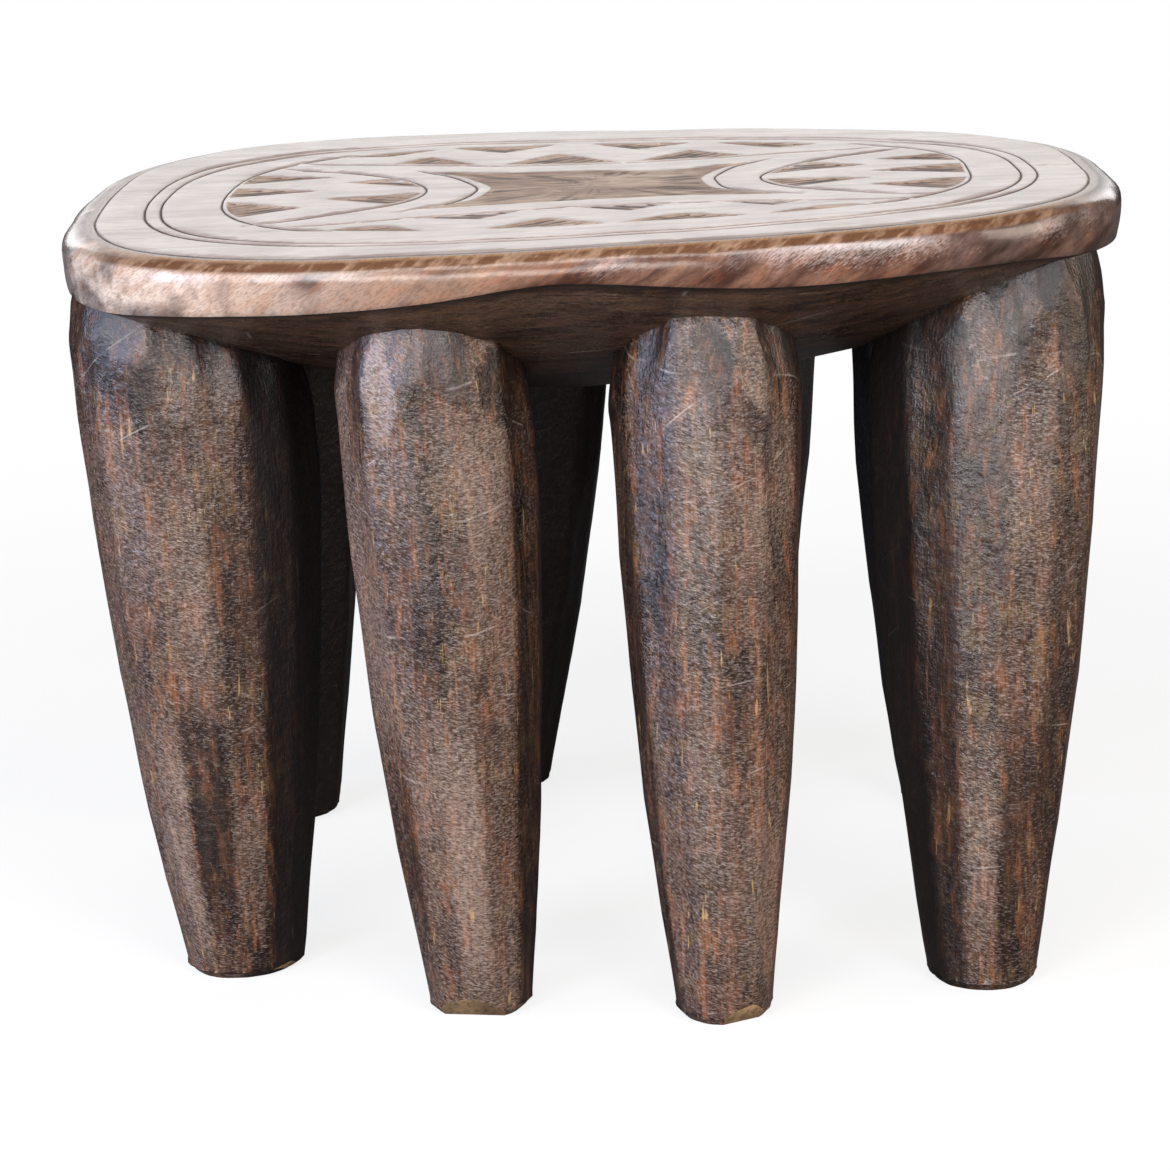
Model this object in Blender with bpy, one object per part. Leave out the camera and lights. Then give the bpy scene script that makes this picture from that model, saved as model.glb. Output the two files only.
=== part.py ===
"""Carved stool: a thick oval seat with a relief-carved top and a swelling underside, on eight hewn legs.

Metres, +Z up. The origin is on the floor under the middle of the seat, +X runs along the seat's length
and -Y is the front. Each leg is scribed to the underside and held by a round tenon in a blind mortise.
"""

import math

import bmesh
import bpy

# Seat
seat_height = 0.300
seat_half_length = 0.2105
seat_half_depth = 0.176
outline_power = 2.9
outline_steps = 64
edge_rounding = 0.009
edge_steps = 3
rim_thickness = 0.018
rim_end_difference = 0.004
rim_scoop = 0.005
rim_scoop_half_width = 0.060
rim_lower_chamfer = 0.0025
rounding_share = 0.72
chamfer_share = 0.2
belly_depth = 0.063
belly_power = 1.8
belly_rings = 6
belly_flat_share = 0.15

# Carving on the top
groove_radius = 0.0016
groove_insets = (0.0115, 0.0317, 0.0380)
field_inset = 0.0550
relief_depth = 0.0025
relief_margin = 0.003
cutter_headroom = 0.010
eye_tip_bearing = 30.5
eye_width = 0.086
eye_triangles = 3
eye_triangle_reach = 0.50
band_depth = 0.059
band_end_gap = 0.006
band_triangles = 4
band_triangle_reach = 0.55
middle_strip = 0.021
middle_flare_x = 0.027
middle_flare_y = 0.012
middle_side_steps = 8
arc_steps = 14

# Legs
leg_facets = 12
leg_rings = 8
leg_top_half_depth = 0.046
leg_top_half_width = 0.0385
leg_foot_half_depth = 0.0225
leg_foot_half_width = 0.0200
leg_swell_power = 1.9
foot_chamfer = 0.003
tenon_radius = 0.013
tenon_facets = 16
tenon_rise = 0.024
tenon_root = 0.030
fit_gap = 0.0004

# Each leg: bearing and inset from the rim of its head, then of its foot, in degrees and metres
legs = {
    "leg_front_left_corner": (202.5, 0.002, 210.0, 0.025),
    "leg_front_left": (249.3, 0.014, 253.0, 0.014),
    "leg_front_right": (283.9, 0.014, 284.1, 0.000),
    "leg_front_right_corner": (332.0, 0.002, 317.5, 0.001),
    "leg_back_left_corner": (152.5, 0.003, 141.1, 0.002),
    "leg_back_left": (100.5, 0.014, 107.8, 0.000),
    "leg_back_right": (70.0, 0.014, 74.2, 0.013),
    "leg_back_right_corner": (27.0, 0.003, 37.5, 0.011),
}

# Finish: linear colour and roughness
seat_finish = ((0.36, 0.29, 0.23), 0.45)
leg_finish = ((0.085, 0.042, 0.026), 0.50)


def clear_scene():
    """Remove every object that the file starts with."""
    for item in list(bpy.data.objects):
        bpy.data.objects.remove(item, do_unlink=True)


def make_collection(name):
    """Return a new collection linked to the scene."""
    collection = bpy.data.collections.new(name)
    bpy.context.scene.collection.children.link(collection)
    return collection


def wood(name, finish):
    """Return a plain wood material."""
    colour, roughness = finish
    material = bpy.data.materials.new(name)
    material.use_nodes = True
    shader = material.node_tree.nodes["Principled BSDF"]
    shader.inputs["Base Color"].default_value = (*colour, 1.0)
    shader.inputs["Roughness"].default_value = roughness
    shader.inputs["Metallic"].default_value = 0.0
    return material


def add_object(name, mesh_builder, collection):
    """Turn a bmesh into a named object with its faces pointing out."""
    bmesh.ops.recalc_face_normals(mesh_builder, faces=mesh_builder.faces)
    mesh = bpy.data.meshes.new(name)
    mesh_builder.to_mesh(mesh)
    mesh_builder.free()
    item = bpy.data.objects.new(name, mesh)
    collection.objects.link(item)
    return item


def add_cutter(name, mesh_builder):
    """Make a hidden object that only cuts or joins others."""
    item = add_object(name, mesh_builder, cutters)
    item.hide_render = True
    item.display_type = "WIRE"
    return item


def combine(item, other, operation):
    """Cut or join an object with another one."""
    modifier = item.modifiers.new(other.name, "BOOLEAN")
    modifier.operation = operation
    modifier.solver = "EXACT"
    modifier.object = other


def outline_point(bearing):
    """Point of the seat's outer edge at a bearing in radians, counted from +X."""
    cosine = math.cos(bearing)
    sine = math.sin(bearing)
    length_term = abs(cosine / seat_half_length) ** outline_power
    depth_term = abs(sine / seat_half_depth) ** outline_power
    radius = (length_term + depth_term) ** (-1.0 / outline_power)
    return radius * cosine, radius * sine


def outline_normal(bearing):
    """Outward unit normal of the outer edge at a bearing."""
    x, y = outline_point(bearing)
    along = math.copysign(abs(x / seat_half_length) ** (outline_power - 1.0) / seat_half_length, x)
    across = math.copysign(abs(y / seat_half_depth) ** (outline_power - 1.0) / seat_half_depth, y)
    size = math.hypot(along, across)
    return along / size, across / size


def inset_point(bearing, inset):
    """Point a distance inside the outer edge, square to it."""
    x, y = outline_point(bearing)
    normal_x, normal_y = outline_normal(bearing)
    return x - inset * normal_x, y - inset * normal_y


def rim_at(bearing):
    """Thickness of the rim: thicker at the left end, scooped thin in the middle of the front."""
    x, y = outline_point(bearing)
    thickness = rim_thickness - rim_end_difference * x / seat_half_length
    if y < 0.0:
        thickness -= rim_scoop * math.exp(-((x / rim_scoop_half_width) ** 2)) * (-y / seat_half_depth) ** 4
    return thickness


def bearings():
    """Evenly spaced bearings round the seat."""
    return [2.0 * math.pi * step / outline_steps for step in range(outline_steps)]


def loft(rings):
    """Closed body through rings of equal point counts: a filled ring, extruded from each ring to the next."""
    body = bmesh.new()
    current = [body.verts.new(point) for point in rings[0]]
    count = len(current)
    edges = [body.edges.new((current[i], current[(i + 1) % count])) for i in range(count)]
    bmesh.ops.edgeloop_fill(body, edges=edges)
    for ring in rings[1:]:
        grown = bmesh.ops.extrude_edge_only(body, edges=edges)["geom"]
        above = {}
        for vertex in (part for part in grown if isinstance(part, bmesh.types.BMVert)):
            for edge in vertex.link_edges:
                above[edge.other_vert(vertex)] = vertex
        current = [above[vertex] for vertex in current]
        for vertex, point in zip(current, ring):
            vertex.co = point
        edges = [body.edges.get((current[i], current[(i + 1) % count])) for i in range(count)]
    bmesh.ops.edgeloop_fill(body, edges=edges)
    return body


def thinnest_rim():
    """Least thickness of the rim, which limits what can be rounded off it."""
    return min(rim_at(angle) for angle in bearings())


def lower_chamfer():
    """Chamfer under the rim, no more than the rim has room for."""
    return min(rim_lower_chamfer, chamfer_share * thinnest_rim())


def underside_drop(bearing, share):
    """Depth of the underside below the top, at a share of the way from the middle to the rim."""
    rim = rim_thickness + (rim_at(bearing) - rim_thickness) * share ** 2
    return rim + belly_depth * (1.0 - share ** belly_power)


def seat_body(drop):
    """The seat without its carving and mortises, lowered by a drop."""
    top = seat_height - drop
    rounding = min(edge_rounding, rounding_share * thinnest_rim())
    chamfer = lower_chamfer()
    angles = bearings()
    rings = []
    for step in range(edge_steps + 1):
        turn = 0.5 * math.pi * step / edge_steps
        inset = rounding * (1.0 - math.sin(turn))
        height = top - rounding * (1.0 - math.cos(turn))
        rings.append([(*inset_point(angle, inset), height) for angle in angles])
    rings.append([(*outline_point(angle), top - rim_at(angle) + chamfer) for angle in angles])
    for step in range(belly_rings + 1):
        share = 1.0 - (1.0 - belly_flat_share) * step / belly_rings
        ring = []
        for angle in angles:
            x, y = inset_point(angle, chamfer)
            ring.append((x * share, y * share, top - underside_drop(angle, share)))
        rings.append(ring)
    lowest = min(z for x, y, z in rings[-1])
    rings[-1] = [(x, y, lowest) for x, y, z in rings[-1]]
    return loft(rings)


def underside_at(x, y):
    """Height of the underside at a place in plan."""
    bearing = math.atan2(y, x)
    share = min(1.0, math.hypot(x, y) / math.hypot(*inset_point(bearing, lower_chamfer())))
    return seat_height - underside_drop(bearing, share)


def prism(points, bottom, top):
    """Upright prism over a plan outline."""
    lower = [(x, y, bottom) for x, y in points]
    upper = [(x, y, top) for x, y in points]
    return loft([lower, upper])


def groove_cutter(name, points, closed):
    """Round bar lying in the top's plane along a plan line, made into a closed mesh."""
    curve = bpy.data.curves.new(name + "_path", "CURVE")
    curve.dimensions = "3D"
    curve.bevel_depth = groove_radius
    curve.bevel_resolution = 1
    curve.use_fill_caps = not closed
    spline = curve.splines.new("POLY")
    spline.points.add(len(points) - 1)
    for control, (x, y) in zip(spline.points, points):
        control.co = (x, y, seat_height, 1.0)
    spline.use_cyclic_u = closed
    path = bpy.data.objects.new(name + "_path", curve)
    cutters.objects.link(path)
    bpy.context.view_layer.update()
    evaluated = path.evaluated_get(bpy.context.evaluated_depsgraph_get())
    mesh = bpy.data.meshes.new_from_object(evaluated)
    bar = bmesh.new()
    bar.from_mesh(mesh)
    bmesh.ops.remove_doubles(bar, verts=bar.verts, dist=0.00001)
    bpy.data.objects.remove(path, do_unlink=True)
    return add_cutter(name, bar)


def arc_through(start, middle, end, steps):
    """Points of the circular arc through three plan points."""
    (ax, ay), (bx, by), (cx, cy) = start, middle, end
    double_area = 2.0 * (ax * (by - cy) + bx * (cy - ay) + cx * (ay - by))
    a_square = ax * ax + ay * ay
    b_square = bx * bx + by * by
    c_square = cx * cx + cy * cy
    centre_x = (a_square * (by - cy) + b_square * (cy - ay) + c_square * (ay - by)) / double_area
    centre_y = (a_square * (cx - bx) + b_square * (ax - cx) + c_square * (bx - ax)) / double_area
    radius = math.hypot(ax - centre_x, ay - centre_y)
    first = math.atan2(ay - centre_y, ax - centre_x)
    half = math.remainder(math.atan2(by - centre_y, bx - centre_x) - first, 2.0 * math.pi)
    rest = math.remainder(math.atan2(cy - centre_y, cx - centre_x) - first - half, 2.0 * math.pi)
    sweep = half + rest
    points = []
    for step in range(steps + 1):
        angle = first + sweep * step / steps
        points.append((centre_x + radius * math.cos(angle), centre_y + radius * math.sin(angle)))
    return points


def field_arc(start_bearing, end_bearing, steps):
    """Points of the carved field's edge between two bearings."""
    points = []
    for step in range(steps + 1):
        bearing = start_bearing + (end_bearing - start_bearing) * step / steps
        points.append(inset_point(bearing, field_inset))
    return points


def along(points, share):
    """Point at a share of the way along a plan line."""
    place = share * (len(points) - 1)
    index = min(int(place), len(points) - 2)
    rest = place - index
    (ax, ay), (bx, by) = points[index], points[index + 1]
    return ax + (bx - ax) * rest, ay + (by - ay) * rest


def towards(point, goal, share):
    """Point a share of the way from one plan point to another."""
    return point[0] + (goal[0] - point[0]) * share, point[1] + (goal[1] - point[1]) * share


def triangle_row(name, base_line, far_line, first, last, count, reach):
    """Pockets in a row: triangles with their bases by one line and their points towards another."""
    row = []
    for index in range(count):
        start = first + (last - first) * index / count
        end = first + (last - first) * (index + 1) / count
        middle = 0.5 * (start + end)
        width = math.dist(along(base_line, middle), along(far_line, middle))
        lift = relief_margin / width
        left = towards(along(base_line, start), along(far_line, start), lift)
        right = towards(along(base_line, end), along(far_line, end), lift)
        side = 0.5 * relief_margin / math.dist(left, right)
        point = towards(along(base_line, middle), along(far_line, middle), reach)
        corners = [towards(left, right, side), towards(right, left, side), point]
        pocket = prism(corners, seat_height - relief_depth, seat_height + cutter_headroom)
        row.append(add_cutter(f"{name}_{index + 1}", pocket))
    return row


def carve_rings(seat):
    """The grooves that run round the seat's border."""
    for index, inset in enumerate(groove_insets):
        line = [inset_point(angle, inset) for angle in bearings()]
        combine(seat, groove_cutter(f"ring_groove_{index + 1}", line, True), "DIFFERENCE")


def carve_zigzag(seat, name, outer, inner, count, reach):
    """Leave a zigzag standing between two lines: one row of triangles on each, set half a step apart."""
    edge = 0.25 / (count + 0.5)
    half_step = 0.5 * (1.0 - 2.0 * edge) / count
    pockets = triangle_row(name + "_outer", outer, inner, edge, 1.0 - edge, count, reach)
    pockets += triangle_row(name + "_inner", inner, outer, edge + half_step, 1.0 - edge - half_step,
                            count - 1, reach)
    for pocket in pockets:
        combine(seat, pocket, "DIFFERENCE")


def eye_inner_x():
    """Where the eyes' inner lines cross the seat's long axis."""
    return inset_point(0.0, field_inset)[0] - eye_width


def band_inner_y():
    """Where the bands' inner lines cross the seat's short axis."""
    return inset_point(0.5 * math.pi, field_inset)[1] - band_depth


def carve_eyes(seat):
    """The pointed ovals at both ends, each with its zigzag."""
    tip_bearing = math.radians(eye_tip_bearing)
    tip_x, tip_y = inset_point(tip_bearing, field_inset)
    for side, name in ((1.0, "right_eye"), (-1.0, "left_eye")):
        tips = [(side * tip_x, -tip_y), (side * tip_x, tip_y)]
        inner = arc_through(tips[0], (side * eye_inner_x(), 0.0), tips[1], arc_steps)
        outer = [(side * x, y) for x, y in field_arc(-tip_bearing, tip_bearing, arc_steps)]
        combine(seat, groove_cutter(name + "_line", inner, False), "DIFFERENCE")
        carve_zigzag(seat, name, outer, inner, eye_triangles, eye_triangle_reach)


def carve_bands(seat):
    """The long bands at front and back, each with its zigzag."""
    tip_bearing = math.radians(eye_tip_bearing)
    tip_x, tip_y = inset_point(tip_bearing, field_inset)
    end_x = tip_x - band_end_gap
    for side, name in ((-1.0, "front_band"), (1.0, "back_band")):
        ends = [(end_x, side * tip_y), (-end_x, side * tip_y)]
        inner = arc_through(ends[0], (0.0, side * band_inner_y()), ends[1], arc_steps)
        outer = [(x, side * y) for x, y in field_arc(tip_bearing, math.pi - tip_bearing, arc_steps)]
        combine(seat, groove_cutter(name + "_line", inner, False), "DIFFERENCE")
        carve_zigzag(seat, name, outer, inner, band_triangles, band_triangle_reach)


def carve_middle(seat):
    """The sunk field in the middle, with all four sides drawn in."""
    waist_x = eye_inner_x() - middle_strip
    waist_y = band_inner_y() - middle_strip
    corner_x = waist_x + middle_flare_x
    corner_y = waist_y + middle_flare_y
    corners = [(corner_x, corner_y), (-corner_x, corner_y), (-corner_x, -corner_y), (corner_x, -corner_y)]
    waists = [(0.0, waist_y), (-waist_x, 0.0), (0.0, -waist_y), (waist_x, 0.0)]
    outline = []
    for index, waist in enumerate(waists):
        outline += arc_through(corners[index], waist, corners[(index + 1) % 4], middle_side_steps)[:-1]
    pocket = prism(outline, seat_height - relief_depth, seat_height + cutter_headroom)
    combine(seat, add_cutter("middle_field", pocket), "DIFFERENCE")


def leg_places(head_bearing, head_inset, foot_bearing, foot_inset):
    """Plan centres of a leg's head and foot, and the way that its broad face looks."""
    head_angle = math.radians(head_bearing)
    foot_angle = math.radians(foot_bearing)
    head = inset_point(head_angle, head_inset + leg_top_half_depth)
    foot = inset_point(foot_angle, foot_inset + leg_foot_half_depth)
    return head, foot, outline_normal(head_angle)


def leg_body(head, foot, facing):
    """Hewn leg: faceted rings that swell from the foot to the head, lofted into one body."""
    top = seat_height - 0.5 * thinnest_rim()
    heights = [0.0, foot_chamfer]
    heights += [foot_chamfer + (top - foot_chamfer) * step / leg_rings for step in range(1, leg_rings + 1)]
    rings = []
    for index, height in enumerate(heights):
        share = height / top
        swell = 1.0 - (1.0 - share) ** leg_swell_power
        half_depth = leg_foot_half_depth + (leg_top_half_depth - leg_foot_half_depth) * swell
        half_width = leg_foot_half_width + (leg_top_half_width - leg_foot_half_width) * swell
        if index == 0:
            half_depth -= foot_chamfer
            half_width -= foot_chamfer
        centre_x, centre_y = towards(foot, head, share)
        ring = []
        for facet in range(leg_facets):
            turn = 2.0 * math.pi * facet / leg_facets
            out = half_depth * math.cos(turn)
            side = half_width * math.sin(turn)
            x = centre_x + out * facing[0] - side * facing[1]
            y = centre_y + out * facing[1] + side * facing[0]
            ring.append((x, y, height))
        rings.append(ring)
    return loft(rings)


def peg(name, place, radius, bottom, top):
    """Upright round cutter or tenon."""
    points = []
    for step in range(tenon_facets):
        turn = 2.0 * math.pi * step / tenon_facets
        points.append((place[0] + radius * math.cos(turn), place[1] + radius * math.sin(turn)))
    return add_cutter(name, prism(points, bottom, top))


def build_leg(name, row, seat, scribe, material):
    """One leg: scribed under the seat, with a tenon, and the mortise for it cut in the seat."""
    head, foot, facing = leg_places(*row)
    leg = add_object(name, leg_body(head, foot, facing), parts)
    leg.data.materials.append(material)
    combine(leg, scribe, "DIFFERENCE")
    seat_line = underside_at(*head)
    tenon_top = seat_line + tenon_rise
    combine(leg, peg(name + "_tenon", head, tenon_radius, seat_line - tenon_root, tenon_top), "UNION")
    mortise = peg(name + "_mortise", head, tenon_radius + fit_gap, seat_line - tenon_root, tenon_top + fit_gap)
    combine(seat, mortise, "DIFFERENCE")


clear_scene()
parts = make_collection("carved_stool")
cutters = make_collection("cutters")
seat_wood = wood("seat_wood", seat_finish)
leg_wood = wood("leg_wood", leg_finish)
seat = add_object("seat", seat_body(0.0), parts)
seat.data.materials.append(seat_wood)
scribe = add_cutter("seat_scribe", seat_body(fit_gap))
carve_rings(seat)
carve_eyes(seat)
carve_bands(seat)
carve_middle(seat)
for name, row in legs.items():
    build_leg(name, row, seat, scribe, leg_wood)
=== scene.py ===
# %% [markdown]
# # A carved stool in Blender
#
# A carver cut this stool from one block of wood: a thick oval seat with ornament on its top, and eight
# tapering legs. The CAD model gives the true sizes and places. This lesson dresses it: the carving, the
# hewn legs and the chipped feet are modelled as geometry, and then the wood gets its colour and shine.

# %% Load the CAD model
import math

import bmesh
import bpy
import numpy as np
from mathutils import Matrix, Vector, geometry, kdtree, noise


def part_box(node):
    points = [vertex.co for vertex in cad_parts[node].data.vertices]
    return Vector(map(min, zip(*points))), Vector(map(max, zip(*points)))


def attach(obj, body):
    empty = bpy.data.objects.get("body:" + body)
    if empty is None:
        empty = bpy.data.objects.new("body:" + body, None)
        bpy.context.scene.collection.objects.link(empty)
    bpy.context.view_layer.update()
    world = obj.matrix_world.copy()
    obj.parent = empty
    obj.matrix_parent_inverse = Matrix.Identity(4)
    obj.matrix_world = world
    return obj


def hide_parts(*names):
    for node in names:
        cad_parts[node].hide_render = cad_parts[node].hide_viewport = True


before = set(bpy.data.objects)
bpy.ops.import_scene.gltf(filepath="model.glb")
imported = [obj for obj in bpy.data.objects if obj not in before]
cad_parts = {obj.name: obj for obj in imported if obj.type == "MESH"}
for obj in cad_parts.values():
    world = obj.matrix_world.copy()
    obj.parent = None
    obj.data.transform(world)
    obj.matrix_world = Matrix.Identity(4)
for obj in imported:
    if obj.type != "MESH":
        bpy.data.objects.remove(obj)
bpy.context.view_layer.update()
MM = 0.001

# %% [markdown]
# ## The camera
#
# The stool was photographed from a little above the seat, a stride and a half away, with the camera
# slightly tilted. The place and the three angles below were worked out from points on the rings of the
# carving and on the feet, so that the render lines up with the picture. A long lens keeps the legs almost
# upright. The rotations are chained, because each one turns the camera about the axes the last one left.

# %% Place the camera
photo_side_pixels = 1170
focal_length_pixels = 3600
camera_place = Vector((0.0406, -1.4577, 0.4999))
camera_yaw = math.radians(1.951)
camera_pitch = math.radians(14.189)
camera_roll = math.radians(-2.373)

camera_data = bpy.data.cameras.new("photo_camera")
camera_data.sensor_width = 36.0
camera_data.lens = camera_data.sensor_width * focal_length_pixels / photo_side_pixels
camera = bpy.data.objects.new("photo_camera", camera_data)
bpy.context.scene.collection.objects.link(camera)
camera.matrix_world = (
    Matrix.Translation(camera_place)
    @ Matrix.Rotation(camera_yaw, 4, "Z")
    @ Matrix.Rotation(math.pi / 2 - camera_pitch, 4, "X")
    @ Matrix.Rotation(camera_roll, 4, "Z")
)
bpy.context.scene.camera = camera
bpy.context.scene.view_settings.view_transform = "Standard"
print(f"lens {camera_data.lens:.1f} mm")

# %% [markdown]
# ## Colours and nodes
#
# Colours are written as the hex values that a painter or a web page would use. Blender's shaders work in
# linear light, so one function turns the one into the other. A second small function adds a shader node,
# sets its values and links it, so that each material below reads as a list of what it is made of.

# %% Helpers for materials
def linear(hex_colour):
    """Linear RGBA from an sRGB hex colour."""
    channels = [int(hex_colour[i : i + 2], 16) / 255.0 for i in (1, 3, 5)]
    return tuple(c / 12.92 if c <= 0.04045 else ((c + 0.055) / 1.055) ** 2.4 for c in channels) + (1.0,)


def fill_inputs(tree, node, inputs):
    """Give each named input of a node a value, a hex colour or another node's output."""
    for socket, value in inputs.items():
        if isinstance(value, bpy.types.NodeSocket):
            tree.links.new(value, node.inputs[socket])
        else:
            node.inputs[socket].default_value = linear(value) if isinstance(value, str) else value


def add_node(tree, kind, inputs=None, **settings):
    """Add a shader node with its settings and its inputs."""
    node = tree.nodes.new("ShaderNode" + kind)
    for name, value in settings.items():
        setattr(node, name, value)
    fill_inputs(tree, node, inputs or {})
    return node


def new_material(name):
    """An empty material: its node tree and its Principled shader, already linked to the output."""
    material = bpy.data.materials.new(name)
    material.use_nodes = True
    tree = material.node_tree
    return material, tree, tree.nodes["Principled BSDF"]


def scale_of(millimetres):
    """Texture scale that gives features of a real size, on coordinates in metres."""
    return 1000.0 / millimetres


# %% [markdown]
# ## The studio
#
# The photograph is a bright product shot on white. A wide disc of paper is enough for a floor that carries
# the stool's shadow. Close to the stool it is lit like any pale floor, and further out it fades to plain
# white for the camera, so that the picture has no horizon.

# %% Floor and background
floor_radius = 8.0
floor_fade_start = 0.45
floor_fade_end = 1.1
floor_white_share = 0.80
paper_seen = "#f8f8f7"
paper_lit = "#626160"

floor_mesh = bmesh.new()
bmesh.ops.create_circle(floor_mesh, cap_ends=True, segments=64, radius=floor_radius)
floor_data = bpy.data.meshes.new("studio_floor")
floor_mesh.to_mesh(floor_data)
floor_mesh.free()
floor = bpy.data.objects.new("studio_floor", floor_data)
bpy.context.scene.collection.objects.link(floor)

# Matt paper: no shine of its own, nearly white to the camera. It throws less light back than it shows, so
# that the hollow between the legs stays dark.
floor_material, tree, shader = new_material("matt_white_paper")
place = add_node(tree, "TexCoord").outputs["Object"]
distance = add_node(tree, "VectorMath", {0: place}, operation="LENGTH").outputs["Value"]
fading = {"Value": distance, "From Min": floor_fade_start, "From Max": floor_fade_end,
          "To Min": floor_white_share}
fade = add_node(tree, "MapRange", fading, interpolation_type="SMOOTHSTEP").outputs[0]
seen = add_node(tree, "LightPath").outputs["Is Camera Ray"]
white_share = add_node(tree, "Math", {0: fade, 1: seen}, operation="MULTIPLY").outputs[0]
white = add_node(tree, "Emission", {"Color": "#ffffff", "Strength": 1.0}).outputs[0]
paper = add_node(tree, "Mix", {0: seen, 6: paper_lit, 7: paper_seen}, data_type="RGBA")
fill_inputs(tree, shader, {"Base Color": paper.outputs[2], "Roughness": 0.9, "Specular IOR Level": 0.0})
mixed = add_node(tree, "MixShader", {0: white_share, 1: shader.outputs[0], 2: white}).outputs[0]
fill_inputs(tree, tree.nodes["Material Output"], {"Surface": mixed})
floor_data.materials.append(floor_material)
print("floor radius", floor_radius, "m")

# %% [markdown]
# The light comes from large soft lamps, as in a room with windows. A long, narrow one high in front draws the
# bright line along the rim's rounded edge. Two upright strips and a low lamp light the front of the legs, a
# window at each side lights their flanks, cool from the left and warm from the right, and a long lamp behind
# the seat lends its polished top the pale sheen. The world is white to the camera, and elsewhere almost dark.

# %% World and lamps
world_fill = 0.08

world = bpy.data.worlds.new("studio")
world.use_nodes = True
tree = world.node_tree
background = tree.nodes["Background"]
path = add_node(tree, "LightPath")
seen = add_node(tree, "Math", {0: path.outputs["Is Camera Ray"], 1: path.outputs["Is Transmission Ray"]},
                operation="MAXIMUM").outputs[0]
level = add_node(tree, "MapRange", {"Value": seen, "To Min": world_fill, "To Max": 1.0}).outputs[0]
fill_inputs(tree, background, {"Color": "#ffffff", "Strength": level})
bpy.context.scene.world = world

soft_lamps = {
    "key_lamp": {"place": (-0.2, -1.75, 1.7), "size": (2.6, 0.3), "watts": 26.0, "colour": "#fffaf6"},
    "left_strip": {"place": (-1.3, -2.0, 1.0), "size": (0.8, 1.2), "watts": 38.0, "colour": "#f4f6ff"},
    "right_strip": {"place": (1.2, -2.0, 1.1), "size": (0.8, 1.2), "watts": 33.0, "colour": "#fbfbff"},
    "low_front": {"place": (-0.4, -2.2, 0.42), "size": (1.2, 0.6), "watts": 20.0, "colour": "#fff6ee"},
    "left_window": {"place": (-2.3, -0.8, 0.7), "size": (0.9, 1.3), "watts": 48.0, "colour": "#cddcff"},
    "right_window": {"place": (2.3, -0.5, 0.7), "size": (0.9, 1.3), "watts": 26.0, "colour": "#ffecdc"},
    "back_lamp": {"place": (0.0, 2.3, 0.95), "size": (3.0, 1.0), "watts": 28.0, "colour": "#f8f6f5"},
}
lamp_target = Vector((0.0, 0.0, 0.2))
for name, lamp in soft_lamps.items():
    data = bpy.data.lights.new(name, "AREA")
    data.shape = "RECTANGLE"
    data.size, data.size_y = lamp["size"]
    data.energy = lamp["watts"]
    data.color = linear(lamp["colour"])[:3]
    item = bpy.data.objects.new(name, data)
    item.location = lamp["place"]
    item.rotation_euler = (lamp_target - item.location).to_track_quat("-Z", "Y").to_euler()
    item.visible_camera = False
    bpy.context.scene.collection.objects.link(item)
print("lamps:", ", ".join(soft_lamps))

# %% [markdown]
# ## The seat's outlines
#
# Seen from above the seat is an oval with full corners, and so are the rings cut round its border. A
# superellipse draws them all: a power of 2 is an ellipse, and a higher one fills the corners out. The
# outer edge takes its size from the CAD seat. Each ring has its own size, because the carver let the rings
# grow rounder towards the middle.

# %% Ovals in plan
seat_low, seat_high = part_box("seat")
seat_top = seat_high.z

# Each oval: half length, half depth, power, and the place of its middle
outer_edge = (seat_high.x, seat_high.y, 2.9, 0.0, 0.0)
border_ring = (0.1970, 0.1680, 3.0, 0.0005, -0.0005)
inner_ring_outside = (0.1785, 0.1415, 2.7, 0.0, -0.0030)
inner_ring_inside = (0.1722, 0.1355, 2.7, 0.0, -0.0030)
field_edge = (0.1505, 0.1195, 2.7, 0.0025, 0.0010)


def oval_points(oval, bearings):
    """Plan points of an oval at bearings in degrees, counted from +X."""
    half_x, half_y, power, middle_x, middle_y = oval
    angles = np.radians(bearings)
    cosine, sine = np.cos(angles), np.sin(angles)
    radius = (np.abs(cosine / half_x) ** power + np.abs(sine / half_y) ** power) ** (-1.0 / power)
    return np.stack([middle_x + radius * cosine, middle_y + radius * sine], axis=1)


ring_count = 480
all_round = np.arange(ring_count) * 360.0 / ring_count
print("seat", seat_low, seat_high)

# %% [markdown]
# ## The carving's plan
#
# The ornament is a traditional one: a double ring, a pointed "eye" at each end, a long band at front and
# back, and a sunk field in the middle. Eyes and bands hold rows of hatched triangles, and the wood left
# between the triangles stands as a pale zigzag. The carver drew these lines by hand, so each is a smooth
# curve through a few points, and no half mirrors the other.

# %% Curves through a few points
def smooth_line(points, steps=12):
    """Points of a smooth curve that passes through the given plan points, in millimetres."""
    given = np.array(points, float) * MM
    padded = np.vstack([2 * given[0] - given[1], given, 2 * given[-1] - given[-2]])
    curve = []
    for i in range(1, len(padded) - 2):
        before, start, end, after = padded[i - 1 : i + 3]
        for t in np.arange(steps) / steps:
            curve.append(0.5 * (2 * start + (end - before) * t
                                + (2 * before - 5 * start + 4 * end - after) * t ** 2
                                + (3 * start - before - 3 * end + after) * t ** 3))
    curve.append(given[-1])
    return np.array(curve)


def offset_line(line, distance, closed=False):
    """The line moved sideways, to its left, by a distance that may differ from point to point."""
    if closed:
        run = np.roll(line, -1, axis=0) - np.roll(line, 1, axis=0)
    else:
        run = np.gradient(line, axis=0)
    run /= np.linalg.norm(run, axis=1)[:, None]
    return line + np.stack([-run[:, 1], run[:, 0]], axis=1) * np.reshape(distance, (-1, 1))


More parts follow.
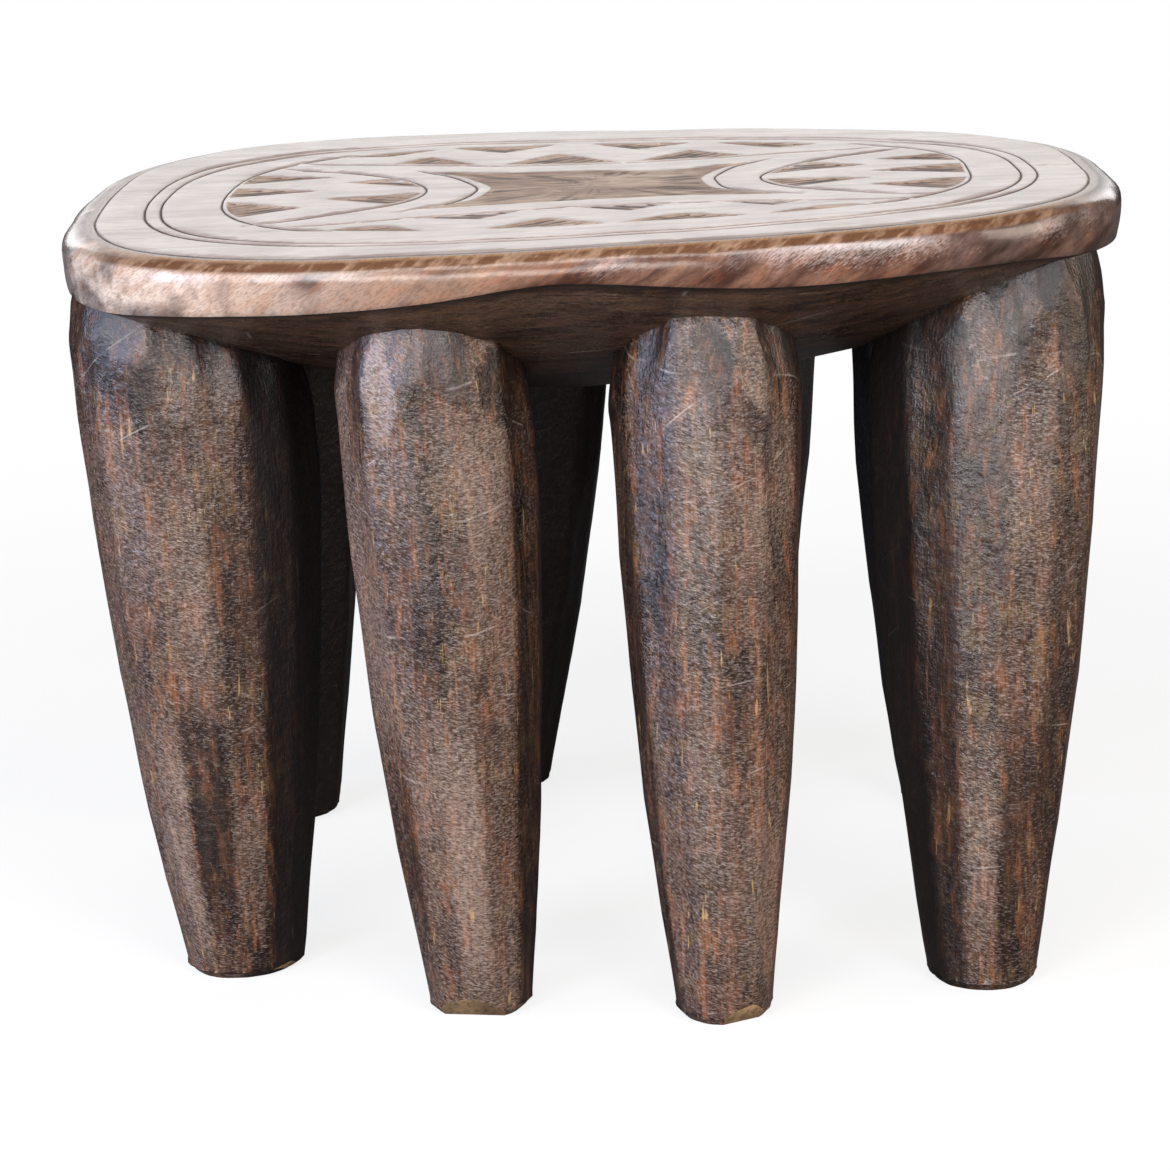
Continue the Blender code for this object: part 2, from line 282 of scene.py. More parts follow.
left_eye = smooth_line([(-131, 67), (-100, 48), (-76, 23), (-66, -9), (-75, -37), (-100, -61), (-132, -80)])
right_eye = smooth_line([(130, 78), (100, 53), (80, 28), (69, -2), (79, -35), (100, -56), (131, -79)])
left_strip = smooth_line([(-73, 48), (-59, 33), (-48, 5), (-46, -15), (-53, -40), (-73, -62)])
right_strip = smooth_line([(73, 51), (60, 35), (52, 10), (51, -8), (57, -35), (83, -60)])
back_line = smooth_line([(-126, 81), (-85, 71), (-42, 59), (0, 57), (42, 61), (80, 73), (122, 86)])
front_line = smooth_line([(-118, -86), (-80, -80), (-40, -72), (0, -66), (40, -69), (80, -75), (124, -87)])
print("points on the left eye's line:", len(left_eye))

# %% [markdown]
# A groove is a V cut: its lips lie at the surface, and its middle line lies at the bottom. So each one is
# drawn as three lines, and each point remembers how deep it will be. Open grooves taper at their ends, as
# a gouge leaves the wood. At the right end the wood has a short crack across the rings, which is one more
# groove, narrow and deep.

# %% Draw the plan's lines
plan_points = []
plan_marks = []
plan_edges = []


def draw(line, depth, closed=False, cut=0.0, sunk=0.0):
    """Add a line to the plan with each point's depth in metres, and whether it is a cut or sunk ground."""
    first = len(plan_points)
    plan_points.extend(Vector(point) for point in line)
    plan_marks.extend((each, cut, sunk) for each in np.broadcast_to(depth, len(line)).tolist())
    plan_edges.extend((first + i, first + i + 1) for i in range(len(line) - 1))
    if closed:
        plan_edges.append((first + len(line) - 1, first))


# Where a groove's lips lie, in half widths: this much further out in front, and this much further in behind
front_lean = 4.0
back_lean = 0.4
end_share = 0.15


def draw_groove(line, width, depth, closed=False, taper=12.0 * MM):
    """A cut along a line: steep behind, and with a long slope at its front, as a knife held low leaves it."""
    share = np.ones(len(line))
    if not closed:
        steps = np.linalg.norm(np.diff(line, axis=0), axis=1)
        travelled = np.concatenate([[0.0], np.cumsum(steps)])
        share = np.clip(np.minimum(travelled, travelled[-1] - travelled) / taper, end_share, 1.0)
    draw(line, depth * share, closed, cut=1.0)
    for side in (-0.5, 0.5):
        reach = side * width * share
        to_front = -(offset_line(line, reach, closed) - line)[:, 1] / np.abs(reach)
        lean = 1.0 + front_lean * np.maximum(to_front, 0.0) - back_lean * np.maximum(-to_front, 0.0)
        draw(offset_line(line, reach * lean, closed), 0.0, closed)


border_lip, border_lip_depth = 1.1 * MM, 0.5 * MM
border_wall, border_depth = 1.0 * MM, 0.8 * MM
border_line = oval_points(border_ring, all_round)
outside_lip = offset_line(border_line, -border_lip, True)
draw(outside_lip, border_lip_depth, True)
draw(border_line, border_depth, True, cut=0.9)
draw(offset_line(border_line, border_wall, True), 0.0, True)

# Each groove: its line, its width and depth in millimetres, and whether it closes on itself
grooves = [
    (oval_points(inner_ring_outside, all_round), 1.5, 0.7, True),
    (oval_points(inner_ring_inside, all_round), 1.6, 0.8, True),
    (oval_points(field_edge, np.linspace(-44.5, 42.0, 110)), 1.4, 0.6, False),
    (oval_points(field_edge, np.linspace(137.0, 226.0, 110)), 1.4, 0.6, False),
    (left_eye, 1.5, 0.7, False),
    (right_eye, 1.5, 0.7, False),
    (left_strip, 1.6, 0.8, False),
    (right_strip, 1.4, 0.6, False),
    (back_line, 1.6, 0.8, False),
    (front_line, 1.6, 0.8, False),
]
for line, width, depth, closed in grooves:
    draw_groove(line, width * MM, depth * MM, closed)
end_crack = smooth_line([(179, 0), (186, 2.5), (191, 1.5), (195, 3)], 4)
draw_groove(end_crack, 1.3 * MM, 2.4 * MM, taper=3.0 * MM)
print("lines drawn with", len(plan_points), "points")

# %% [markdown]
# The triangles stand on the lines just drawn. Each is a shallow pocket whose floor slopes down to a steep
# back wall. It is given by where its base starts and ends along its line, and by its point, in millimetres.
# The base follows the line, a little inside it, and the two sides are straight.

# %% Triangles on their lines
base_margin = 1.6 * MM
wall_width = 0.7 * MM
front_depth, back_depth = 0.12 * MM, 0.55 * MM
hatch_pitch = 5.6 * MM
side_steps = 8
pockets = []


def between(line, start, end, axis):
    """The stretch of a line whose coordinates along an axis lie between two values."""
    low, high = sorted((start * MM, end * MM))
    part = line[(line[:, axis] >= low) & (line[:, axis] <= high)]
    return part if (part[0, axis] < part[-1, axis]) == (start < end) else part[::-1]


def inner_circle(a, b, c):
    """Centre and radius of the circle that touches a triangle's three sides."""
    sides = [np.linalg.norm(p - q) for p, q in ((b, c), (c, a), (a, b))]
    centre = (sides[0] * a + sides[1] * b + sides[2] * c) / sum(sides)
    area = 0.5 * abs((b[0] - a[0]) * (c[1] - a[1]) - (b[1] - a[1]) * (c[0] - a[0]))
    return centre, 2.0 * area / sum(sides)


def sloping_depth(y, outline):
    """Depth of a sunk floor, shallow at its front and deeper towards its back."""
    share = (y - outline[:, 1].min()) / np.ptp(outline[:, 1])
    return front_depth + (back_depth - front_depth) * share


def draw_triangle(line, axis, start, end, point):
    """A sunk triangle with its base on a line: its outline, its floor, and the way of its hatching."""
    point = np.array(point) * MM
    base = between(line, start, end, axis)[::2]
    inward = (point - base.mean(axis=0)) / np.linalg.norm(point - base.mean(axis=0))
    base = base + inward * base_margin
    there = np.linspace(base[-1], point, side_steps)
    back = np.linspace(point, base[0], side_steps)
    outline = np.vstack([base, there[1:], back[1:-1]])
    centre, radius = inner_circle(base[0], base[-1], point)
    floor_outline = centre + (outline - centre) * (1.0 - wall_width / radius)
    run = (point - base[0]) / np.linalg.norm(point - base[0])
    across = np.array([-run[1], run[0]])
    draw(outline, 0.0, True)
    draw(floor_outline, sloping_depth(floor_outline[:, 1], floor_outline), True, sunk=1.0)
    pockets.append({"floor": floor_outline, "outline": outline, "across": across})


field = oval_points(field_edge, np.arange(0.0, 360.0, 0.5))
left_half = field[field[:, 0] < 0.0]
# The field's points start at +X, so they are rolled on by 100 degrees to keep the right half in one run
rolled = np.roll(field, 200, axis=0)
right_half = rolled[rolled[:, 0] > 0.0]
front_half = field[field[:, 1] < 0.0]
back_half = field[field[:, 1] > 0.0]
X, Y = 0, 1
triangles = [
    # left eye: the row on the field's edge, then the row on the eye's line
    (left_half, Y, 26, 50, (-107, 37)), (left_half, Y, -8, 18, (-110, 1)),
    (left_half, Y, -60, -15, (-113, -41)),
    (left_eye, Y, 0, 31, (-102, 21)), (left_eye, Y, -42, -13, (-107, -19)),
    # right eye, in the same order
    (right_half, Y, 27, 56, (117, 42)), (right_half, Y, -15, 18, (113, 4)),
    (right_half, Y, -64, -26, (110, -41)),
    (right_eye, Y, 5, 40, (114, 24)), (right_eye, Y, -38, -5, (114, -18)),
    # back band: the row on the inner line, then the row on the field's edge
    (back_line, X, -85, -43, (-70, 90)), (back_line, X, -41, 12, (-16, 91)),
    (back_line, X, 17, 65, (41, 93)),
    (back_half, X, -110, -67, (-88, 95)), (back_half, X, -64, -17, (-39, 98)),
    (back_half, X, -2, 43, (18, 97)), (back_half, X, 50, 98, (79, 93)),
    # front band, in the same order
    (front_line, X, -72, -22, (-41, -90)), (front_line, X, -8, 39, (17, -86)),
    (front_line, X, 47, 88, (72, -90)),
    (front_half, X, -99, -59, (-78, -95)), (front_half, X, -39, 9, (-14, -94)),
    (front_half, X, 10, 63, (37, -99)), (front_half, X, 65, 108, (89, -97)),
]
for line, axis, start, end, point in triangles:
    draw_triangle(line, axis, start, end, point)
print("triangles:", len(pockets))

# %% [markdown]
# The field in the middle is sunk like the triangles, with all four sides drawn in. Its floor was roughed
# out with a gouge and never smoothed.

# %% The sunk field in the middle
middle_sides = [
    smooth_line([(-69, 45), (-35, 36.5), (0, 34.5), (25, 28), (45, 33), (69, 47)], 8),
    smooth_line([(69, 47), (55, 30), (47, 8), (46, -8), (52, -33), (79, -58)], 8),
    smooth_line([(79, -58), (45, -52), (10, -51), (-30, -54), (-69, -59)], 8),
    smooth_line([(-69, -59), (-48, -40), (-41, -15), (-43, 3), (-55, 30), (-69, 45)], 8),
]
middle_outline = np.vstack([side[:-1] for side in middle_sides])
middle_centre = np.array([2.0, -6.0]) * MM
middle_floor_share = 0.965
middle_floor = middle_centre + (middle_outline - middle_centre) * middle_floor_share
draw(middle_outline, 0.0, True)
draw(middle_floor, sloping_depth(middle_floor[:, 1], middle_floor), True, sunk=1.0)


def inside(places, outline):
    """Which plan places lie inside a closed outline."""
    x, y = places[:, 0], places[:, 1]
    result = np.zeros(len(places), bool)
    for (ax, ay), (bx, by) in zip(outline, np.roll(outline, -1, axis=0)):
        crosses = (ay > y) != (by > y)
        if ay != by:
            result ^= crosses & (x < (bx - ax) * (y - ay) / (by - ay) + ax)
    return result


print("outline of the middle field:", len(middle_outline), "points")

# %% [markdown]
# The triangulation that follows needs loose points between the lines: close together in the middle field, so
# that the gouge strokes show, and far apart on plain wood, which only has to bend a little. A staggered grid
# gives even triangles, and a KD tree keeps its points clear of the lines. The strokes fan out from the
# field's middle, and their hollows hold dark wax.

# %% Loose points between the lines
stroke_fan = 12.0
stroke_length = 38.0
patch_length, patch_width = 24.0, 9.0
patch_share = 0.7
stroke_depth = 0.25 * MM
wax_level, wax_swing, wax_limit = 0.35, 0.65, 0.75
row_step = 0.866


def gouged(x, y):
    """Height of the gouge strokes in the middle field, about -1 to 1."""
    away = Vector((x, y)) - Vector(middle_centre)
    way = away.normalized() * stroke_fan
    stroke = noise.noise((way.x, way.y, away.length * scale_of(stroke_length)))
    patch = noise.noise((x * scale_of(patch_length), y * scale_of(patch_width), 9.0))
    return stroke + patch_share * patch


def fill_points(low, high, spacing, wanted, clearance):
    """Add loose points on a staggered grid where they are wanted and clear of the lines."""
    near = kdtree.KDTree(len(plan_points))
    for index, point in enumerate(plan_points):
        near.insert((point.x, point.y, 0.0), index)
    near.balance()
    columns = np.arange(low[0], high[0], spacing)
    rows = np.arange(low[1], high[1], spacing * row_step)
    grid = np.array([(x + 0.5 * spacing * (j % 2), y) for j, y in enumerate(rows) for x in columns])
    added = 0
    for x, y in grid[wanted(grid)]:
        if near.find((x, y, 0.0))[2] <= clearance:
            continue
        mark = (0.0, 0.0, 0.0)
        if inside(np.array([(x, y)]), middle_floor)[0]:
            stroke = gouged(x, y)
            cut = min(max(wax_level + wax_swing * stroke, 0.0), wax_limit)
            mark = (sloping_depth(y, middle_floor) + stroke_depth * stroke, cut, 1.0)
        plan_points.append(Vector((x, y)))
        plan_marks.append(mark)
        added += 1
    return added


def plain_wood(places):
    """Places inside the border that no pocket takes."""
    free = inside(places, outside_lip) & ~inside(places, middle_outline)
    for pocket in pockets:
        free &= ~inside(places, pocket["outline"])
    return free


low, high = outside_lip.min(axis=0), outside_lip.max(axis=0)
middle_spacing, middle_clearance = 1.3 * MM, 0.9 * MM
plain_spacing, plain_clearance = 5.0 * MM, 2.2 * MM
middle_fill = fill_points(low, high, middle_spacing, lambda p: inside(p, middle_floor), middle_clearance)
plain_fill = fill_points(low, high, plain_spacing, plain_wood, plain_clearance)
print("loose points:", middle_fill, "in the middle,", plain_fill, "on plain wood")

# %% [markdown]
# ## Cutting the carving
#
# No grid of squares follows such a plan. Blender's constrained triangulation does: it joins all the points
# into triangles and keeps every drawn line as an edge, so the cuts come out crisp with few faces. The
# depth travels with each vertex, in a layer of the bmesh, so that later cuts inherit it.

# %% Triangulate the plan
merge_distance = 0.02 * MM
flat_points, _, flat_faces, origins, _, _ = geometry.delaunay_2d_cdt(
    plan_points, plan_edges, [], 0, merge_distance)
seat = bmesh.new()
seat_layers = [seat.verts.layers.float.new(name) for name in ("depth", "cut", "sunk", "fall", "tone")]
depth_layer, cut_layer, _, fall_layer, tone_layer = seat_layers
seat_verts = [seat.verts.new((point.x, point.y, 0.0)) for point in flat_points]
for face in flat_faces:
    seat.faces.new([seat_verts[i] for i in face])
crossings = []
vert_of_plan_point = {}
for vert, sources in zip(seat_verts, origins):
    if sources:
        for layer, mark in zip(seat_layers, max(plan_marks[i] for i in sources)):
            vert[layer] = mark
        for i in sources:
            vert_of_plan_point[i] = vert
    else:
        crossings.append(vert)
for vert in crossings:
    around = [edge.other_vert(vert) for edge in vert.link_edges]
    for layer in seat_layers:
        vert[layer] = sum(other[layer] for other in around) / len(around)
border = [vert_of_plan_point[i] for i in range(ring_count)]
print("plan:", len(seat.verts), "vertices,", len(seat.faces), "faces,", len(crossings), "crossings")

# %% [markdown]
# The hatching in a triangle is a row of knife cuts side by side, parallel to one of its edges. Bisecting
# the floor with parallel planes gives those lines, and lowering every second one makes the row of Vs.

# %% Hatch the triangles
hatch_depth = 0.30 * MM
hatch_wax = 0.85
cut_tolerance = 0.01 * MM
centres = np.array([face.calc_center_median()[:2] for face in seat.faces])
faces = list(seat.faces)
hatch_cuts = 0
for pocket in pockets:
    chosen = [faces[i] for i in np.flatnonzero(inside(centres, pocket["floor"]))]
    geom = set(chosen)
    for face in chosen:
        geom.update(face.edges)
        geom.update(face.verts)
    geom = list(geom)
    across = Vector((*pocket["across"], 0.0))
    reach = (pocket["floor"] - pocket["floor"][0]) @ pocket["across"]
    count = int((reach.max() - reach.min()) / (0.5 * hatch_pitch))
    for step in range(1, count):
        offset = reach.min() + (reach.max() - reach.min()) * step / count
        plane = Vector((*pocket["floor"][0], 0.0)) + across * offset
        cut = bmesh.ops.bisect_plane(seat, geom=geom, dist=cut_tolerance, plane_co=plane, plane_no=across)
        geom = cut["geom"]
        if step % 2:
            for vert in cut["geom_cut"]:
                if isinstance(vert, bmesh.types.BMVert):
                    vert[depth_layer] += hatch_depth
                    vert[cut_layer] = hatch_wax
        hatch_cuts += 1
bmesh.ops.triangulate(seat, faces=seat.faces)
print("hatching:", hatch_cuts, "cuts,", len(seat.faces), "faces")

# %% [markdown]
# ## The rim and the underside
#
# From the border ring the wood rolls over a rounded edge, falls down the rim, and turns in under the seat
# to a full belly between the legs. Those are rings of one shape after another, so the carved top's border
# is extruded ring by ring. The rim is thicker at the left end and scooped thin in the middle of the front.

# %% Shape of the rim and the belly
edge_rounding = 8.0 * MM
rim_tuck = 1.5 * MM
rim_thickness = 18.5 * MM
rim_reach_power = 7.0
belly_depth = seat_top - rim_thickness - seat_low.z
belly_power = 2.0

# Thickness of the rim in millimetres by bearing: left end, front with its scoop, right end, back
rim_by_bearing = smooth_line([
    (-180, 24.5), (-150, 23.4), (-130, 20.2), (-111, 17.6), (-98, 13.0), (-90, 12.6), (-67, 18.2),
    (-44, 17.6), (-28, 21.0), (0, 20.5), (60, 18.5), (120, 19.5), (180, 24.5),
])


def under_edge(bearing):
    """Plan point of the rim's lower edge at a bearing in degrees, and the rim's thickness there."""
    x, y = oval_points(outer_edge, np.array([bearing]))[0]
    size = math.hypot(x, y)
    turned = (bearing + 180.0) % 360.0 - 180.0
    rim = float(np.interp(turned * MM, rim_by_bearing[:, 0], rim_by_bearing[:, 1]))
    return x * (1.0 - rim_tuck / size), y * (1.0 - rim_tuck / size), rim


def underside_drop(x, y):
    """How far the underside lies below the top at a plan place."""
    edge_x, edge_y, rim = under_edge(math.degrees(math.atan2(y, x)))
    share = min(1.0, math.hypot(x, y) / math.hypot(edge_x, edge_y))
    flat = rim_thickness + (rim - rim_thickness) * share ** rim_reach_power
    return flat + belly_depth * (1.0 - share ** belly_power)


def extrude_ring(mesh, ring, places):
    """Extrude a closed ring of vertices once, and put the new ring at the given places."""
    edges = [mesh.edges.get((ring[i - 1], ring[i])) for i in range(len(ring))]
    grown = bmesh.ops.extrude_edge_only(mesh, edges=edges)["geom"]
    above = {}
    for vert in (part for part in grown if isinstance(part, bmesh.types.BMVert)):
        for edge in vert.link_edges:
            above[edge.other_vert(vert)] = vert
    new_ring = [above[vert] for vert in ring]
    for vert, place in zip(new_ring, places):
        vert.co = place
    return new_ring


# %% [markdown]
# Extruding the border's edges makes a new ring of faces, and each ring goes to its place straight away: a
# quarter of a circle over the edge, a few steps down the rim, then ring after ring in to the middle of the
# belly, which one last face closes.

# %% Extrude the rim and the underside
rounding_steps = 9
rim_steps = 5
belly_steps = 34
last_share = 0.03

outer_points = oval_points(outer_edge, all_round)
ring = border
top_faces = set(seat.faces)
for step in range(1, rounding_steps + 1):
    turn = 0.5 * math.pi * step / rounding_steps
    plan = outside_lip + (outer_points - outside_lip) * math.sin(turn)
    drop = edge_rounding * (1.0 - math.cos(turn))
    ring = extrude_ring(seat, ring, [(x, y, -drop) for x, y in plan])
for step in range(1, rim_steps + 1):
    share = step / rim_steps
    places = []
    for (x, y), bearing in zip(outer_points, all_round):
        edge_x, edge_y, rim = under_edge(bearing)
        tuck = share ** 2
        drop = edge_rounding + (rim - edge_rounding) * share
        places.append((x + (edge_x - x) * tuck, y + (edge_y - y) * tuck, -drop))
    ring = extrude_ring(seat, ring, places)
rim_faces = set(seat.faces) - top_faces
under_edges = [under_edge(bearing) for bearing in all_round]
for step in range(1, belly_steps + 1):
    share = 1.0 - (1.0 - last_share) * step / belly_steps
    places = [(x * share, y * share, -underside_drop(x * share, y * share)) for x, y, _ in under_edges]
    ring = extrude_ring(seat, ring, places)
bmesh.ops.contextual_create(seat, geom=[seat.edges.get((ring[i - 1], ring[i])) for i in range(ring_count)])
under_faces = set(seat.faces) - top_faces - rim_faces
print("faces: top", len(top_faces), "rim", len(rim_faces), "underside", len(under_faces))

# %% [markdown]
# ## The carver's hand
#
# So far the seat is too true. The real top is slightly twisted, its lines wander a little, and the rim and
# underside show the flats of an adze. Smooth noise moves the vertices: sideways for the lines, up and down
# for the worn top, and in and out for the tool marks.

# %% Twist, wander and tool marks
twist = 0.12
line_wander = 0.7 * MM
wear_waves = 0.35 * MM
adze_marks = 0.8 * MM
wander_size, fine_wander_size, fine_wander_share = 38.0, 11.0, 0.25
wave_size = 42.0
rim_mark_width, rim_mark_height, rim_mark_share = 26.0, 14.0, 0.6
under_mark_size = 24.0
under_tone, belly_painted_shade = 0.5, 0.35
rim_slot, under_slot = 1, 2

# A noise vector depends on the noise module's seed, which is the time of day unless it is set
wander_seed = 11
noise.seed_set(wander_seed)


def wander(place, size, amount, seed):
    """A smooth shift, the same at neighbouring places."""
    return noise.noise_vector((Vector(place) + Vector((seed, seed, seed))) / (size * MM)) * amount


rim_verts = {vert for face in rim_faces for vert in face.verts}
under_verts = {vert for face in under_faces for vert in face.verts}
border_verts = set(border)
for vert in seat.verts:
    x, y, z = vert.co
    shift = wander(vert.co, wander_size, line_wander, 2.0)
    shift += wander(vert.co, fine_wander_size, fine_wander_share * line_wander, 5.0)
    height = seat_top + z - twist * x * y - vert[depth_layer]
    height += wear_waves * noise.noise((x * scale_of(wave_size), y * scale_of(wave_size), 1.0))
    if vert in rim_verts and vert not in border_verts:
        vert[fall_layer] = min(-z / rim_thickness, 1.0)
        across = scale_of(rim_mark_width)
        chop = noise.noise((x * across, y * across, z * scale_of(rim_mark_height)))
        outward = Vector((x, y, 0.0)).normalized()
        shift += outward * adze_marks * rim_mark_share * chop
    elif vert in under_verts:
        across = scale_of(under_mark_size)
        height += adze_marks * noise.noise((x * across, y * across, 7.0))
        # Lower on the belly the tone falls, so the colour darkens: painted shade under the seat
        vert[tone_layer] = under_tone + belly_painted_shade * (z + rim_thickness) / belly_depth
    vert.co = (x + shift.x, y + shift.y, height)
for face in rim_faces:
    face.material_index = rim_slot
for face in under_faces:
    face.material_index = under_slot
bmesh.ops.recalc_face_normals(seat, faces=seat.faces)
print("vertices: rim", len(rim_verts), "underside", len(under_verts))

# %% [markdown]
# ## Finishing a piece
#
# Each bmesh becomes an object in the same way. It is shaded smooth, as worn wood is, but edges sharper than
# an angle stay crisp, so that the carving keeps its lines. Then it gets its woods, and rides on the body that
# carries the whole stool.

# %% Turn a bmesh into a piece
def finish_piece(name, mesh, sharp_angle, materials):
    """Turn a bmesh into a smooth-shaded object whose sharp edges stay crisp."""
    data = bpy.data.meshes.new(name)
    mesh.to_mesh(data)
    mesh.free()
    data.shade_smooth()
    data.set_sharp_from_angle(angle=math.radians(sharp_angle))
    for material in materials:
        data.materials.append(material)
    item = bpy.data.objects.new(name, data)
    bpy.context.scene.collection.objects.link(item)
    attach(item, "root")
    return item


# %% [markdown]
# ## The wood
#
# One wood has three faces here. The top is worn and waxed by use: pale where hands and clothes rub, brown
# in the cuts where they can't reach. The rim is handled, so it is warm brown and glossy. Legs and
# underside keep the dark smoky patina, worn through to orange-brown in streaks along the grain. Noise fits
# any shape, so each finish is built from it. All patterns read Object coordinates, in metres, so each has its
# real size. Some are stretched along the grain, and one into short strokes, nearly level, as rubbing leaves.

# %% A wood's patterns
stroke_stretch = (3.5, 3.5, 1.0)
stroke_tilt = (0.35, 0.25, 0.0)


def wood_patterns(tree, grain_way, grain_turn=(0.0, 0.0, 0.0), **sizes):
    """Noise outputs for a wood, each of a size in millimetres, with its grain stretched and turned."""
    place = add_node(tree, "TexCoord").outputs["Object"]
    grain = {"Vector": place, "Scale": grain_way, "Rotation": grain_turn}
    along = add_node(tree, "Mapping", grain, vector_type="TEXTURE").outputs[0]
    strokes = {"Vector": place, "Scale": stroke_stretch, "Rotation": stroke_tilt}
    level = add_node(tree, "Mapping", strokes, vector_type="TEXTURE").outputs[0]
    ways = {"blotches": place, "pores": place, "streaks": along, "grain": along, "patches": along,
            "flecks": along, "specks": level}
    sockets = {"place": place}
    for name, size in sizes.items():
        inputs = {"Vector": ways[name], "Scale": scale_of(size), "Detail": 3.0, "Roughness": 0.6}
        sockets[name] = add_node(tree, "TexNoise", inputs).outputs[0]
    return sockets


def laid_over(tree, below, colour, pattern, low, high, share=1.0):
    """A colour laid over what is below, more and more as a pattern runs from low to high."""
    cover = add_node(tree, "MapRange", {"Value": pattern, "From Min": low, "From Max": high, "To Max": share})
    # A colour Mix takes its share at input 0 and its two colours at inputs 6 and 7
    return add_node(tree, "Mix", {0: cover.outputs[0], 6: below, 7: colour}, data_type="RGBA").outputs[2]


# %% [markdown]
# Years of sitting rubbed the top's raised wood pale and smooth, while the cuts kept dark wax and dust and the
# sunk ground stayed brown and dull. Such a mask could be painted by hand, but the mesh already knows it: its
# "sunk" and "cut" layers come in as attributes.

# %% Worn and waxed top
# Waxed hardwood worn by use: to the eye a pale, silky surface with brown, matt hollows.
top_material, tree, shader = new_material("waxed_hardwood_worn_by_use")
wood = wood_patterns(tree, (8.0, 1.0, 1.0), blotches=34.0, streaks=13.0, grain=1.6, pores=1.3)
sunk = add_node(tree, "Attribute", attribute_name="sunk").outputs["Fac"]
cut = add_node(tree, "Attribute", attribute_name="cut").outputs["Fac"]
worn = laid_over(tree, "#968981", "#b1a69e", wood["blotches"], 0.35, 0.65)
worn = laid_over(tree, worn, "#75645a", wood["streaks"], 0.50, 0.70, 0.6)
worn = laid_over(tree, worn, "#6b594e", wood["grain"], 0.52, 0.70, 0.45)
ground = laid_over(tree, "#9c8270", "#c4ac98", wood["blotches"], 0.38, 0.62)
ground = laid_over(tree, ground, "#5d4637", wood["grain"], 0.45, 0.65, 0.7)
colour = laid_over(tree, worn, ground, sunk, 0.25, 0.75)
patchy = {0: wood["streaks"], 1: -0.8, 2: cut}
wax = add_node(tree, "Math", patchy, operation="MULTIPLY_ADD").outputs[0]
colour = laid_over(tree, colour, "#43322a", wax, 0.0, 0.45)
matt = add_node(tree, "Math", {0: sunk, 1: cut}, operation="MAXIMUM").outputs[0]
shine = {"Value": matt, "From Min": 0.1, "From Max": 0.6, "To Min": 0.38, "To Max": 0.72}
gloss = add_node(tree, "MapRange", shine).outputs[0]
pores = add_node(tree, "Bump", {"Height": wood["pores"], "Strength": 0.25, "Distance": 0.4 * MM}).outputs[0]
fibres = add_node(tree, "Bump", {"Height": wood["grain"], "Strength": 0.25, "Distance": 0.5 * MM,
                                 "Normal": pores}).outputs[0]
fill_inputs(tree, shader, {"Base Color": colour, "Roughness": gloss, "Normal": fibres})
print("made", top_material.name)

# %% [markdown]
# Hands hold the rim when the stool is carried, so it shines. It has a pale lip, a golden brown band where the
# top rolls over, and a face that goes from pinkish at the left through red-brown to dark at the right, partly
# the wood's colour and partly painted light and painted shade. A painted highlight lies along the face's
# upper part, right of the middle. These changes follow the shape, so two values drive them: the "fall"
# attribute, which says how far down the rim a place lies, and the place along the seat.

# %% Handled rim
# Waxed hardwood polished by hands: to the eye a warm, glossy edge with fine slanting fibres.
rim_material, tree, shader = new_material("waxed_hardwood_polished_by_hands")
fibre_slant = math.radians(-32.0)
wood = wood_patterns(tree, (4.0, 4.0, 1.0), (0.0, fibre_slant, 0.0), blotches=34.0, streaks=3.5,
                     patches=9.0, grain=0.55, specks=0.9)
fall = add_node(tree, "Attribute", attribute_name="fall").outputs["Fac"]
axes = add_node(tree, "SeparateXYZ", {0: wood["place"]}).outputs
ragged = {0: wood["blotches"], 1: 0.30, 2: axes["X"]}
along = add_node(tree, "Math", ragged, operation="MULTIPLY_ADD").outputs[0]
to_side = add_node(tree, "Math", {0: axes["Y"]}, operation="ABSOLUTE").outputs[0]
# The face's left part: pinkish and pale, partly the wood's colour and partly painted light
face = laid_over(tree, "#a08370", "#cebbab", wood["blotches"], 0.38, 0.60)
face = laid_over(tree, face, "#a9866e", wood["streaks"], 0.46, 0.66, 0.6)
red_face = laid_over(tree, "#40271e", "#82604f", wood["patches"], 0.38, 0.62)
red_face = laid_over(tree, red_face, "#96583a", wood["streaks"], 0.54, 0.70, 0.35)
# A painted highlight along the face's upper part, broken by the grain
painted_highlight_mask = add_node(tree, "Math", {0: wood["grain"], 1: 1.2, 2: fall}, operation="MULTIPLY_ADD").outputs[0]
painted_highlight_face = laid_over(tree, red_face, "#b5a8a3", painted_highlight_mask, 1.25, 0.90, 0.62)
# The right end: dark, partly the wood's colour and partly painted shade
dark_and_shaded_face = laid_over(tree, "#33241e", "#64504a", wood["patches"], 0.38, 0.62)
end_face = laid_over(tree, "#8a7c75", "#64554b", wood["streaks"], 0.45, 0.62, 0.8)
face = laid_over(tree, end_face, face, along, -0.03, 0.005)
face = laid_over(tree, face, red_face, along, 0.01, 0.11)
face = laid_over(tree, face, painted_highlight_face, along, 0.19, 0.25)
face = laid_over(tree, face, dark_and_shaded_face, along, 0.27, 0.33)
edge = laid_over(tree, "#a8835f", "#62432f", fall, 0.012, 0.06)
edge = laid_over(tree, edge, "#a98a72", wood["streaks"], 0.48, 0.62, 0.6)
edge = laid_over(tree, face, edge, to_side, 0.09, 0.13)
body = laid_over(tree, edge, face, fall, 0.18, 0.25)
body = laid_over(tree, "#9b8e86", body, fall, 0.004, 0.02)
body = laid_over(tree, body, "#3a281f", wood["grain"], 0.44, 0.66, 0.4)
shine = {"Value": fall, "From Min": 0.02, "From Max": 0.12, "To Min": 0.45, "To Max": 0.17}
gloss = add_node(tree, "MapRange", shine).outputs[0]
specks = add_node(tree, "Bump", {"Height": wood["specks"], "Strength": 0.08, "Distance": 0.3 * MM}).outputs[0]
fibres = add_node(tree, "Bump", {"Height": wood["grain"], "Strength": 0.22, "Distance": 0.3 * MM,
                                 "Normal": specks}).outputs[0]
fill_inputs(tree, shader, {"Base Color": body, "Roughness": gloss, "Normal": fibres})
print("made", rim_material.name)
